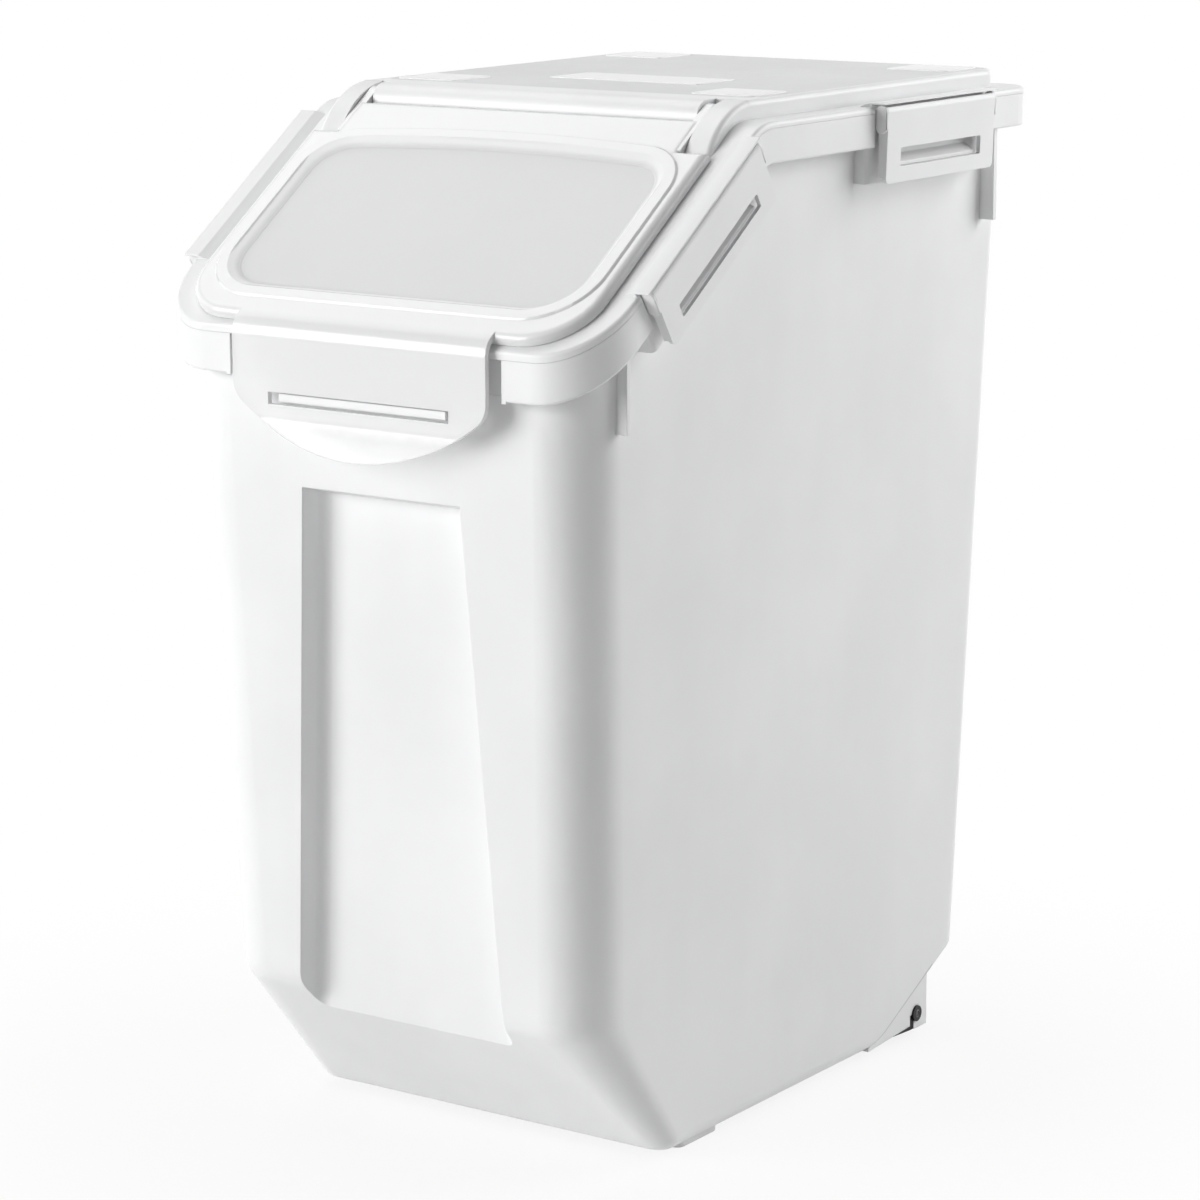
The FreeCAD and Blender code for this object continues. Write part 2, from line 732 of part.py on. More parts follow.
def bead():
    rod = Part.makeCylinder(bead_r, latch_length, V(bead_x, -latch_length / 2, -bead_depth), V(0, 1, 0))
    web = local_box(latch_length / 2, bay_x - lid_wall, bead_x,
                    -bead_depth - bead_web / 2, -bead_depth + bead_web / 2)
    return rod.fuse(web)


def lid_frame():
    flange = rim_prism(0.0).common(deck_band(0.0, flange_thick))
    flange = flange.makeFillet(flange_edge_r, edges_at_depth(flange, 0.0))
    plug = plug_prism(0.0).cut(plug_prism(plug_wall)).common(deck_band(flange_thick / 2, plug_depth))
    slots = both_sides(hinge_rod(slot_r, bar_half, bar_half + slot_width))
    shells = both_sides(hinge_rod(slot_r + lid_wall, bar_half - lid_wall, bar_half + slot_width + lid_wall))
    under = below_deck(0.0)
    solid = flange.fuse([plateau(), plug] + [shell.common(under) for shell in shells])
    attic = plan_outline(plateau_half - lid_wall, hollow_front_y, plateau_rear_y - lid_wall,
                         plateau_edge_r, plateau_rear_r - lid_wall)
    behind_hinge = box((-FAR, hollow_front_y, 0), (FAR, FAR, deck_z))
    margin = flap_wall + mouth_margin
    mouth = placed(window_prism(margin, -fold_r, fold_r), slope_place)
    mat_seat = mat_plan(plateau_z - mat_thick, plateau_z + mat_thick)
    pin_holes = both_sides(hinge_rod(pin_r, bar_half - pin_bite, pin_end_x))
    notch = local_box(latch_length / 2 + latch_end_clear, bay_x, FAR, -fold_r / 2, fold_r)
    hollow = plug_prism(plug_wall).common(behind_hinge)
    solid = solid.cut([prism(attic, deck_z, plateau_z - lid_wall), hollow])
    solid = solid.cut(slots + [mouth, mat_seat] + pin_holes + at_stations(notch))
    return solid.fuse(at_stations(bead())).removeSplitter()


def lid_seal():
    """Soft ring round the plug, just under the flange."""
    ring = plug_prism(-seal_thick).cut(plug_prism(0.0))
    return ring.common(deck_band(flange_thick, flange_thick + seal_height))


def flap_plan(inset):
    """Flap outline in the slope's own frame: narrow between the cheeks, wide below them."""
    top = -flap_top_s - inset
    shoulder = -flap_shoulder_s - inset
    front = -flap_front_s + inset
    narrow = lug_half - inset
    wide = flap_half - inset
    radius = flap_corner_r - inset

    def place(x, y):
        return V(x, y, 0)
    edges = [
        Part.makeLine(place(radius - wide, front), place(wide - radius, front)),
        arc((wide - radius, front + radius), radius, -90, 0, place),
    ]
    corners = [(wide, front + radius), (wide, shoulder), (narrow, shoulder), (narrow, top),
               (-narrow, top), (-narrow, shoulder), (-wide, shoulder), (-wide, front + radius)]
    for start, end in zip(corners[:-1], corners[1:]):
        edges.append(Part.makeLine(place(*start), place(*end)))
    edges.append(arc((radius - wide, front + radius), radius, 180, 270, place))
    return Part.Wire(edges)


def tab_strip():
    """Flap's front lip: down over the rim as a D-shaped tab whose lower edge flares out."""
    corner_s = (fold_y - tab_face_y - brim_n * math.sin(slope)) / math.cos(slope)
    corner = V(0, tab_face_y, deck_z - corner_s * math.sin(slope) + brim_n * math.cos(slope))
    uphill = V(0, math.cos(slope), math.sin(slope))
    normal = V(0, -math.sin(slope), math.cos(slope))
    down = V(0, 0, -1)
    back = V(0, 1, 0)
    reach = tab_bend_r * math.tan((math.pi / 2 - slope) / 2)
    bend_start = corner + uphill * reach
    bend_end = corner + down * reach
    centre = bend_start - normal * tab_bend_r
    middle = (corner - centre).normalize()
    lip_top = V(0, tab_face_y, tab_low_z + tab_lip_height)
    lip_end = V(0, tab_face_y - tab_lip_out, tab_low_z)
    root = uphill * tab_root
    inner_r = tab_bend_r - tab_thick
    outer = [bend_start + root, bend_start, centre + middle * tab_bend_r, bend_end, lip_top, lip_end]
    inner = [bend_start + root - normal * tab_thick, bend_start - normal * tab_thick,
             centre + middle * inner_r, bend_end + back * tab_thick,
             lip_top + back * tab_thick, lip_end + back * tab_thick]
    edges = []
    for path in [outer, inner]:
        edges.append(Part.makeLine(path[0], path[1]))
        edges.append(Part.Arc(path[1], path[2], path[3]).toShape())
        edges.append(Part.makeLine(path[3], path[4]))
        edges.append(Part.makeLine(path[4], path[5]))
    edges.append(Part.makeLine(outer[0], inner[0]))
    edges.append(Part.makeLine(outer[-1], inner[-1]))
    strip = across(Part.Wire(Part.__sortEdges__(edges)), -tab_half, tab_half)
    shield = box((-tab_half, -FAR, tab_low_z), (tab_half, 0, deck_z))
    disc = Part.makeCylinder(tab_low_r, FAR, V(0, -FAR, tab_low_z + tab_low_r), back)
    above = box((-tab_half, -FAR, tab_low_z + tab_low_r / 2), (tab_half, 0, deck_z))
    shield = shield.common(disc).fuse(above).removeSplitter()
    corners = [e for e in shield.Edges if e.BoundBox.XLength < NEAR and e.BoundBox.ZLength < NEAR
               and e.BoundBox.ZMax < tab_low_z + tab_low_r / 2]
    shield = shield.makeFillet(tab_corner_r, corners)
    slot = box((-tab_slot_half, -FAR, tab_slot_z), (tab_slot_half, 0, tab_slot_z + tab_slot_height))
    return strip.common(shield).cut(slot)


def flap_lug():
    """Hinge ear at one end of the flap, in the slope's own frame."""
    low_x = lug_half - lug_thick
    disc = Part.makeCylinder(lug_r, lug_thick, V(low_x, -hinge_s, hinge_n), X_AXIS)
    arm = box((low_x, -flap_shoulder_s, flap_lift), (lug_half, -hinge_s, brim_n - arm_drop))
    bore = Part.makeCylinder(pin_r + pin_clear, FAR, V(0, -hinge_s, hinge_n), X_AXIS)
    return disc.fuse(arm).cut(bore)


def front_flap():
    tray = prism(flap_plan(0.0), flap_lift, brim_n)
    tray = tray.makeFillet(flap_edge_r, edges_at(tray, brim_n))
    tray = tray.cut(prism(flap_plan(flap_wall), 0.0, brim_n - flap_wall))
    ring = window_prism(ring_width, brim_n - flap_wall / 2, ring_n)
    ring = ring.makeChamfer(ring_bevel, edges_at(ring, ring_n))
    floor_n = ring_n - window_depth
    under_n = floor_n - flap_wall
    well = Part.makeLoft([window_outline(flap_wall - window_draft, under_n),
                          window_outline(flap_wall, brim_n)], True, True)
    sink = Part.makeLoft([window_outline(-window_draft, floor_n), window_outline(0.0, ring_n)], True, True)
    solid = tray.fuse([ring, well] + both_sides(flap_lug())).cut(sink)
    return placed(solid, slope_place).fuse(tab_strip()).removeSplitter()


def flap_seal():
    """Soft ring under the flap that meets the lid round the mouth."""
    inner = flap_wall + flap_seal_gap
    outer = inner + flap_seal_width
    low_n = flap_seal_lift
    ring = window_prism(outer, low_n, brim_n - flap_wall).cut(window_prism(inner, low_n, brim_n - flap_wall))
    return placed(ring, slope_place)


def latch(drop, slot_top, slot_low):
    """Side latch in the frame of its station: a roll round the bead, a slotted plate and its end returns."""
    half = latch_length / 2

    def place(x, n):
        return V(x, -half, n)
    centre = (bead_x, -bead_depth)
    inner = arc(centre, bead_r + bead_clear, roll_start_deg, roll_end_deg, place)
    outer = arc(centre, roll_r, roll_start_deg, roll_end_deg, place)
    ends = [Part.makeLine(inner.Vertexes[i].Point, outer.Vertexes[i].Point) for i in (0, 1)]
    length = V(0, latch_length, 0)
    roll = Part.Face(Part.Wire(Part.__sortEdges__([inner, outer] + ends))).extrude(length)
    outline = [
        (latch_out_x, -bead_depth),
        (latch_out_x - latch_lean, -drop),
        (latch_in_x, -drop),
        (latch_in_x, -bead_depth - roll_r / 2),
    ]
    plate = Part.Face(polygon([place(x, n) for x, n in outline])).extrude(length)
    corners = [e for e in plate.Edges if e.BoundBox.YLength < NEAR and e.BoundBox.ZMax < NEAR - drop]
    plate = plate.makeFillet(latch_corner_r, corners)
    returns = local_box(half, latch_in_x - latch_return, latch_in_x + latch_return / 2,
                        latch_corner_r - drop, -latch_return_top)
    returns = returns.cut(local_box(half - latch_return_thick, 0, FAR, -FAR, FAR))
    body = plate.fuse(returns)
    slot = local_box(latch_slot_half, 0, FAR, -slot_low, -slot_top)
    slot = slot.makeFillet(latch_slot_r, [e for e in slot.Edges if e.BoundBox.XLength > NEAR])
    return roll.fuse(body).cut(slot).removeSplitter()


def foot():
    outline = plan_outline(foot_width / 2, 0, foot_length, foot_corner_r, foot_corner_r)
    solid = prism(outline, 0, ground_gap)
    solid = solid.makeFillet(foot_edge_r, edges_at(solid, 0))
    solid.translate(V(foot_half - foot_width / 2, foot_front_y, 0))
    return solid


def wheel_hub():
    low_x = wheel_outer_x - wheel_width
    rim_r = wheel_r - tyre_thick
    return axle_rod(rim_r, low_x, wheel_outer_x).cut(axle_rod(axle_r + axle_fit, low_x, wheel_outer_x))


def wheel_tyre():
    low_x = wheel_outer_x - wheel_width
    solid = axle_rod(wheel_r, low_x, wheel_outer_x)
    solid = solid.makeFillet(tyre_edge_r, [e for e in solid.Edges if e.BoundBox.XLength < NEAR])
    return solid.cut(axle_rod(wheel_r - tyre_thick, low_x, wheel_outer_x))


def axle_clip():
    """Ring inside the hanger, and the tail that fills the snap-in slot and runs on under the hanger."""
    high_x = hanger_half - hanger_thick
    low_x = high_x - clip_thick
    near_y = axle_y - entry_set - clip_slot_clear
    far_y = axle_y - entry_set - entry_width + clip_slot_clear
    under_z = hanger_low_z + entry_ramp_rise - clip_slot_clear
    slant = entry_ramp_rise * clip_foot / entry_ramp
    tail = side_points([
        (far_y, axle_z),
        (far_y, under_z),
        (far_y - clip_foot, under_z - slant),
        (far_y, clip_foot_z),
        (near_y, clip_foot_z),
        (near_y, axle_z),
    ])
    clip = axle_rod(clip_r, low_x, high_x).fuse(across(tail, low_x, hanger_half - clip_face_set))
    return clip.cut(axle_rod(axle_r, low_x, hanger_half)).removeSplitter()


def rear_axle():
    end_x = hanger_half + axle_proud
    return axle_rod(axle_r, -end_x, end_x).cut(axle_rod(axle_bore_r, -end_x, end_x))


def hinge_pin():
    return hinge_rod(pin_r, bar_half - pin_bite, pin_end_x)


def corner_pad():
    """Pad at the front right corner of the top mat; the others are its mirror images."""
    outline = plan_outline(pad_length / 2, 0, pad_width, pad_corner_r, pad_corner_r)
    solid = prism(outline, plateau_z, plateau_z + pad_thick)
    solid.translate(V(plateau_half - mat_margin - pad_inset - pad_length / 2, mat_front_y + pad_inset, 0))
    return solid


def label_plate():
    outline = plan_outline(label_half, label_y - label_width / 2, label_y + label_width / 2,
                           label_corner_r, label_corner_r)
    return prism(outline, plateau_z, plateau_z + label_thick)


def export(node, shape):
    solids = shape.Solids
    solid = solids[0] if len(solids) == 1 else Part.makeCompound(solids)
    print(node, len(solids), round(shape.Volume), shape.isValid())
    solid.exportStep("parts/" + node + ".step")


def export_pair(node, shape):
    for side, copy in zip(["right", "left"], both_sides(shape)):
        export(node + "_" + side, copy)


def export_all():
    os.makedirs("parts", exist_ok=True)
    export("bin_body", bin_body())
    export("lid_frame", lid_frame())
    export("lid_seal", lid_seal())
    export("front_flap", front_flap())
    export("flap_seal", flap_seal())
    export("top_mat", mat_plan(plateau_z - mat_thick, plateau_z))
    export("label_plate", label_plate())
    export("rear_axle", rear_axle())
    for name, place, sizes in stations():
        export_pair(name + "_latch", placed(latch(*sizes), place))
    mat_middle = V(0, (mat_front_y + plateau_rear_y - mat_margin) / 2, 0)
    export_pair("front_pad", corner_pad())
    export_pair("rear_pad", corner_pad().mirror(mat_middle, V(0, 1, 0)))
    export_pair("front_foot", foot())
    export_pair("hinge_pin", hinge_pin())
    export_pair("axle_clip", axle_clip())
    export_pair("wheel_hub", wheel_hub())
    export_pair("wheel_tyre", wheel_tyre())


export_all()
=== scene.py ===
import math

import bmesh
import bpy
from mathutils import Matrix, Vector


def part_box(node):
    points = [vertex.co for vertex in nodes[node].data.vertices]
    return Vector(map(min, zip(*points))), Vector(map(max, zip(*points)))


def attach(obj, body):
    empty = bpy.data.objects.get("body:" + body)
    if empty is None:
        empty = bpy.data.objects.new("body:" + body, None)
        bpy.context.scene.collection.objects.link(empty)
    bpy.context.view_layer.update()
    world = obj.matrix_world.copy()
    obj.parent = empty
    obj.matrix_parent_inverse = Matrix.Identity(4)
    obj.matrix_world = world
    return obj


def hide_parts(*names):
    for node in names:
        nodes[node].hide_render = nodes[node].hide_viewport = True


# A rolling food storage bin: white tub and lid, clear flap, four side latches and rear wheels.
# Metres throughout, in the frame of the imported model: X is the width, minus Y the front, Z is up.
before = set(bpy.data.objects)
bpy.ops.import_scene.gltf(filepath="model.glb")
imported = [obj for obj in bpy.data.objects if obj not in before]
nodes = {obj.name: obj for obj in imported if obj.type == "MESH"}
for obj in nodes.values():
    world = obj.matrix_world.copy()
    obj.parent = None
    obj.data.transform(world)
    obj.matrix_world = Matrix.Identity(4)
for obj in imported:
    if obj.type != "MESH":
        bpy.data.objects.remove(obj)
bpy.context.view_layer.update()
scene = bpy.context.scene
scene.view_settings.view_transform = "Standard"

# Sizes of the bin that the finishes and the added pieces follow
deck_z = 0.471                # level top of the lid's flange
fold_y = -0.056               # where the level and the sloped deck meet
slope = math.radians(34.5)
heel_toe_y = 0.0775           # lower end of the slanted heel under the rear of the tub
heel_toe_z = 0.0045
heel = math.atan2(43.5, 82.5)
rear_latch_y = 0.0913         # middle of the rear latches
front_latch_s = 0.064         # fold to the middle of the front latches, down the slope
latch_half = 0.0495           # half the length of a latch
bead_x = 0.125                # bead that a latch swings on
bead_depth = 0.0024           # bead below the deck
roll_r = 0.0032               # outside of the latch's roll round the bead

ROUND = 64                    # sides of a round piece
CROSSWAYS = (0, math.pi / 2, 0)
ENDWAYS = (math.pi / 2, 0, 0)
TINY = 1e-6


class Wire:
    """A shader socket that takes part in plain arithmetic."""

    def __init__(self, finish, socket):
        self.finish = finish
        self.socket = socket

    def combine(self, operation, first, second):
        return self.finish.node("ShaderNodeMath", {"operation": operation}, {0: first, 1: second})

    def __add__(self, other):
        return self.combine("ADD", self, other)

    def __radd__(self, other):
        return self.combine("ADD", other, self)

    def __sub__(self, other):
        return self.combine("SUBTRACT", self, other)

    def __rsub__(self, other):
        return self.combine("SUBTRACT", other, self)

    def __mul__(self, other):
        return self.combine("MULTIPLY", self, other)

    def __rmul__(self, other):
        return self.combine("MULTIPLY", other, self)

    def __abs__(self):
        return self.finish.node("ShaderNodeMath", {"operation": "ABSOLUTE"}, {0: self})


class Finish:
    """The nodes of one material or world, and the methods that add them."""

    def __init__(self, owner):
        self.owner = owner
        self.owner.use_nodes = True
        self.tree = self.owner.node_tree
        self.shader = self.tree.nodes.get("Principled BSDF")

    def node(self, kind, settings=None, sockets=None, output=0):
        made = self.tree.nodes.new(kind)
        for name, value in (settings or {}).items():
            setattr(made, name, value)
        for name, value in (sockets or {}).items():
            self.put(made.inputs[name], value)
        return Wire(self, made.outputs[output])

    def put(self, socket, value):
        if isinstance(value, Wire):
            self.tree.links.new(value.socket, socket)
        else:
            socket.default_value = value

    def shade(self, **values):
        """Sets the shader's own sockets; underscores stand for spaces."""
        for name, value in values.items():
            self.put(self.shader.inputs[name.replace("_", " ")], value)

    def place(self):
        return self.node("ShaderNodeTexCoord", output="Object")

    def coordinates(self, place):
        """Distance from the middle plane, depth and height of a place."""
        x, y, z = [self.node("ShaderNodeSeparateXYZ", {}, {"Vector": place}, output=axis)
                   for axis in ("X", "Y", "Z")]
        return abs(x), y, z

    def noise(self, place, scale, detail=2.0, rough=0.5, stretch=None):
        if stretch:
            place = self.node("ShaderNodeMapping", {}, {"Vector": place, "Scale": stretch})
        sockets = {"Vector": place, "Scale": scale, "Detail": detail, "Roughness": rough}
        return self.node("ShaderNodeTexNoise", {}, sockets)

    def band(self, value, low, high):
        """0 below the first number, 1 above the second, smooth between."""
        return self.node("ShaderNodeMapRange", {"interpolation_type": "SMOOTHSTEP"},
                         {"Value": value, "From Min": low, "From Max": high})

    def blend(self, factor, first, second):
        """Mixes two colours."""
        return self.node("ShaderNodeMix", {"data_type": "RGBA"}, {0: factor, 6: first, 7: second}, output=2)

    def agreement(self, first, second):
        """1 where two directions are the same, 0 where they are square to each other."""
        return self.node("ShaderNodeVectorMath", {"operation": "DOT_PRODUCT"},
                         {0: first, 1: second}, output=1)

    def facing(self):
        return self.node("ShaderNodeNewGeometry", output="Normal")

    def edge_wear(self, radius):
        """1 on sharp edges, fading to 0 on open faces, and the normal that rounds those edges."""
        rounded = self.node("ShaderNodeBevel", {"samples": 4}, {"Radius": radius})
        return self.band(self.agreement(rounded, self.facing()), 0.985, 0.80), rounded

    def painted_corner_shade(self, reach):
        """Painted shade: 1 deep in corners and steps of the piece itself, where shade falls, 0 on open faces.
        """
        open_share = self.node("ShaderNodeAmbientOcclusion", {"samples": 6, "only_local": True},
                               {"Distance": reach}, output="AO")
        return self.band(open_share, 0.86, 0.35)

    def bump(self, height, depth, normal):
        return self.node("ShaderNodeBump", {},
                         {"Height": height, "Distance": depth, "Strength": 1.0, "Normal": normal})

    def seen(self):
        """1 for what the camera sees, in a reflection too, and 0 for what only gives light."""
        rays = [self.node("ShaderNodeLightPath", output=ray)
                for ray in ("Is Camera Ray", "Is Glossy Ray", "Is Transmission Ray")]
        return self.node("ShaderNodeMath", {"operation": "MINIMUM"}, {0: rays[0] + rays[1] + rays[2], 1: 1.0})


def new_finish(name):
    return Finish(bpy.data.materials.new(name))


def grey(value):
    return (value, value, value, 1.0)


def tint(tone, share=1.0, lift=0.0):
    """A tone made darker or paler, at most white."""
    return tuple(min(1.0, part * share + lift) for part in tone) + (1.0,)


def heel_line(finish, place):
    """Thin joint line between the tub's side and the axle hangers, along the slanted heel."""
    across, depth, height = finish.coordinates(place)
    away = abs((height - heel_toe_z) * math.cos(heel) - (depth - heel_toe_y) * math.sin(heel))
    on_side = finish.band(across, 0.0955, 0.0970)
    past_toe = finish.band(depth, heel_toe_y, heel_toe_y + 0.0025)
    past_hanger = finish.band(depth, 0.1360, 0.1368)
    return (1 - finish.band(away, 0.0002, 0.0006)) * on_side * past_toe * (1 - past_hanger)


def moulded_plastic(name, tone, roughness, skin_depth, edge_radius, corner_shade_share=0.30, joint=None):
    """Moulded plastic: soft mottling, a fine skin from the mould, faint flow lines, rubbed edges and painted
    shade that darkens its corners and steps.
    """
    finish = new_finish(name)
    place = finish.place()
    mottle = finish.noise(place, scale=11.0, detail=3.0)
    flow = finish.noise(place, scale=26.0, stretch=(1.0, 1.0, 0.12))
    skin = finish.noise(place, scale=1300.0, rough=0.6)
    rubs = finish.noise(place, scale=160.0, detail=4.0, rough=0.7, stretch=(1.0, 1.0, 0.35))
    edge, rounded = finish.edge_wear(edge_radius)
    patches = finish.band(mottle * 0.7 + flow * 0.3, 0.35, 0.65)
    surface_colour = finish.blend(patches, tint(tone, 0.965), tint(tone, 1.015))
    surface_colour = finish.blend(edge * 0.35, surface_colour, tint(tone, 1.04))
    # Painted shade: the piece's own corners and steps are darkened as if shade fell in them
    surface_colour = finish.blend(finish.painted_corner_shade(0.004) * corner_shade_share, surface_colour, tint(tone, 0.55))
    if joint:
        surface_colour = finish.blend(joint(finish, place) * 0.6, surface_colour, tint(tone, 0.45))
    rough = roughness + (mottle - 0.5) * 0.10 + (rubs - 0.5) * 0.08 - edge * 0.06
    finish.shade(Base_Color=surface_colour, Roughness=rough, IOR=1.49,
                 Normal=finish.bump(skin * 0.6 + rubs * 0.4, skin_depth, rounded))
    return finish.owner


def clear_plastic(name):
    """Clear flap: glossy and see-through at its brim and tab, frosted over its window."""
    finish = new_finish(name)
    place = finish.place()
    across, depth, height = finish.coordinates(place)
    along = (fold_y - depth) * math.cos(slope) + (deck_z - height) * math.sin(slope)
    lift = (height - deck_z) * math.cos(slope) + (fold_y - depth) * math.sin(slope)

    # Parts of the flap
    past_side = finish.band(across, 0.0975, 0.0985)
    past_top = finish.band(along, 0.0275, 0.0300)
    past_foot = finish.band(along, 0.1355, 0.1365)
    window = (1 - past_side) * past_top * (1 - past_foot)
    floor = window * (1 - finish.band(lift, 0.0026, 0.0038))
    brim = finish.band(lift, 0.0034, 0.0046)
    tab = finish.band(along, 0.150, 0.158)
    lip = tab * (1 - finish.band(height, 0.338, 0.346))

    # The window's upper side is shaded as one even plane
    edge, rounded = finish.edge_wear(0.0006)
    square = finish.node("ShaderNodeVectorTransform",
                         {"vector_type": "NORMAL", "convert_from": "OBJECT", "convert_to": "WORLD"},
                         {"Vector": (0.0, -math.sin(slope), math.cos(slope))})
    upper = finish.band(finish.agreement(finish.facing(), square), 0.3, 0.6)
    even = finish.node("ShaderNodeMix", {"data_type": "VECTOR"},
                       {0: window * upper * 0.8, 4: rounded, 5: square}, output=1)

    mist = finish.noise(place, scale=900.0)
    cloud = finish.noise(place, scale=14.0, detail=3.0)
    alpha = 0.80 + brim * (1 - tab) * 0.13 - floor * 0.05 - tab * 0.02 - lip * 0.50
    alpha = alpha + edge * 0.05 + (cloud - 0.5) * 0.03
    rough = 0.10 + floor * 0.30 + (cloud - 0.5) * 0.06
    base = finish.blend(cloud, tint((0.905, 0.908, 0.911)), tint((0.935, 0.937, 0.940)))
    # Painted light: the tab is given a whiter colour than the rest of the flap to lift the shade it sits in
    base = finish.blend(tab * 0.8, base, tint((0.985, 0.987, 0.990)))
    finish.shade(Base_Color=base, Roughness=rough, Alpha=alpha, IOR=1.49,
                 Normal=finish.bump(mist, 0.00001, even))
    return finish.owner


def pebbled_inlay(name, tone):
    """Grey inlay with a fine pebbled grain and a slight sheen."""
    finish = new_finish(name)
    place = finish.place()
    pebble = finish.node("ShaderNodeTexVoronoi", {"feature": "F1"}, {"Vector": place, "Scale": 900.0})
    cloud = finish.noise(place, scale=16.0, detail=3.0)
    dust = finish.noise(place, scale=260.0, detail=4.0, rough=0.7)
    edge, rounded = finish.edge_wear(0.0008)
    patches = finish.band(cloud * 0.6 + dust * 0.4, 0.3, 0.7)
    surface_colour = finish.blend(patches, tint(tone, 0.95), tint(tone, 1.03))
    surface_colour = finish.blend(edge * 0.3, surface_colour, tint(tone, 1.12))
    finish.shade(Base_Color=surface_colour, Roughness=0.66 + (dust - 0.5) * 0.15,
                 Normal=finish.bump(pebble, 0.00006, rounded))
    return finish.owner


def soft_rubber(name, tone, roughness, grain, grain_depth, clouding=1.0):
    """Rubber or silicone: matt, with a fine grain, dust in it and rubbed edges."""
    finish = new_finish(name)
    place = finish.place()
    grains = finish.noise(place, scale=grain, detail=3.0, rough=0.6)
    cloud = finish.noise(place, scale=45.0, detail=3.0)
    edge, rounded = finish.edge_wear(0.0002)
    patches = finish.band(cloud, 0.3, 0.7)
    surface_colour = finish.blend(patches, tint(tone, 1 - 0.10 * clouding), tint(tone, 1 + 0.06 * clouding))
    surface_colour = finish.blend(edge * 0.4, surface_colour, tint(tone, 1.15, 0.015))
    finish.shade(Base_Color=surface_colour, Roughness=roughness + (grains - 0.5) * 0.2,
                 Normal=finish.bump(grains, grain_depth, rounded))
    return finish.owner


def drawn_metal(name, tone, roughness):
    """Drawn steel: fine lines along the rod and bright rubbed edges."""
    finish = new_finish(name)
    place = finish.place()
    lines = finish.noise(place, scale=2400.0, stretch=(0.02, 1.0, 1.0))
    cloud = finish.noise(place, scale=60.0, detail=3.0)
    edge, rounded = finish.edge_wear(0.0004)
    surface_colour = finish.blend(cloud, tint(tone, 0.85), tint(tone))
    surface_colour = finish.blend(edge * 0.5, surface_colour, tint(tone, 1.3, 0.02))
    finish.shade(Base_Color=surface_colour, Metallic=1.0, Roughness=roughness + (lines - 0.5) * 0.2,
                 Normal=finish.bump(lines, 0.00002, rounded))
    return finish.owner


# Moulded plastics: tone, roughness, depth of the skin and radius of the rubbed edges; the latches get little
# of the painted shade in their corners
white = (0.855, 0.858, 0.862)
shell_white = moulded_plastic("shell_white", white, 0.42, 0.00004, 0.0008, joint=heel_line)
lid_white = moulded_plastic("lid_white", white, 0.36, 0.00003, 0.0004)
latch_white = moulded_plastic("latch_white", white, 0.42, 0.00002, 0.0003, corner_shade_share=0.05)
label_white = moulded_plastic("label_white", (0.95, 0.952, 0.955), 0.50, 0.000003, 0.0001)
plug_grey = moulded_plastic("plug_grey", (0.10, 0.10, 0.105), 0.40, 0.00002, 0.0003)
hub_black = moulded_plastic("hub_black", (0.030, 0.030, 0.032), 0.45, 0.00004, 0.0006)

# Rubbers: tone, roughness, scale of the grain and its depth
pad_white = soft_rubber("pad_white", (0.95, 0.95, 0.95), 0.55, 1200.0, 0.00001, clouding=0.15)
foot_white = soft_rubber("foot_white", (0.92, 0.92, 0.92), 0.6, 1100.0, 0.00004, clouding=0.4)
seal_clear = soft_rubber("seal_clear", (0.78, 0.79, 0.80), 0.45, 900.0, 0.00003)
tyre_black = soft_rubber("tyre_black", (0.022, 0.022, 0.023), 0.62, 1500.0, 0.00006)

# Metals: tone and roughness
axle_black = drawn_metal("axle_black", (0.030, 0.030, 0.032), 0.38)
clip_black = drawn_metal("clip_black", (0.024, 0.024, 0.026), 0.45)
pin_steel = drawn_metal("pin_steel", (0.62, 0.62, 0.63), 0.28)

clear_flap = clear_plastic("clear_flap")
mat_grey = pebbled_inlay("mat_grey", (0.755, 0.757, 0.762))

finishes = {
    "bin_body": shell_white,
    "lid_frame": lid_white,
    "front_flap": clear_flap,
    "top_mat": mat_grey,
    "label_plate": label_white,
    "lid_seal": seal_clear,
    "flap_seal": seal_clear,
    "rear_axle": axle_black,
}
for side in ("right", "left"):
    finishes["rear_latch_" + side] = latch_white
    finishes["front_latch_" + side] = latch_white
    finishes["front_pad_" + side] = pad_white
    finishes["rear_pad_" + side] = pad_white
    finishes["front_foot_" + side] = foot_white
    finishes["hinge_pin_" + side] = pin_steel
    finishes["axle_clip_" + side] = clip_black
    finishes["wheel_hub_" + side] = hub_black
    finishes["wheel_tyre_" + side] = tyre_black
for node, material in finishes.items():
    nodes[node].data.materials.clear()
    nodes[node].data.materials.append(material)


# Steps that the modelled pieces share
def box_of(node):
    """Low corner, high corner and middle of a node's box."""
    low, high = [Vector(corner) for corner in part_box(node)]
    return low, high, (low + high) / 2


def choose(test, kind="FACE"):
    """Selects the faces or edges of the mesh in edit mode that pass the test, and only those."""
    bpy.ops.mesh.select_mode(type=kind)
    bpy.ops.mesh.select_all(action="DESELECT")
    mesh = bmesh.from_edit_mesh(bpy.context.object.data)
    for item in mesh.faces if kind == "FACE" else mesh.edges:
        if test(item):
            item.select_set(True)
    mesh.select_flush_mode()
    bmesh.update_edit_mesh(bpy.context.object.data)


def upright(edge):
    return abs(edge.verts[0].co.z - edge.verts[1].co.z) > 0.8 * edge.calc_length()


def sharper_than(angle, edge):
    return len(edge.link_faces) == 2 and edge.calc_face_angle() > angle


def open_piece():
    """Puts the new piece's place and turn in its mesh and opens it for editing."""
    bpy.ops.object.transform_apply(location=True, rotation=True, scale=True)
    bpy.ops.object.mode_set(mode="EDIT")


def block(centre, size, turn=(0, 0, 0)):
    bpy.ops.object.select_all(action="DESELECT")
    bpy.ops.mesh.primitive_cube_add(size=1.0, location=centre, scale=size, rotation=turn)
    open_piece()


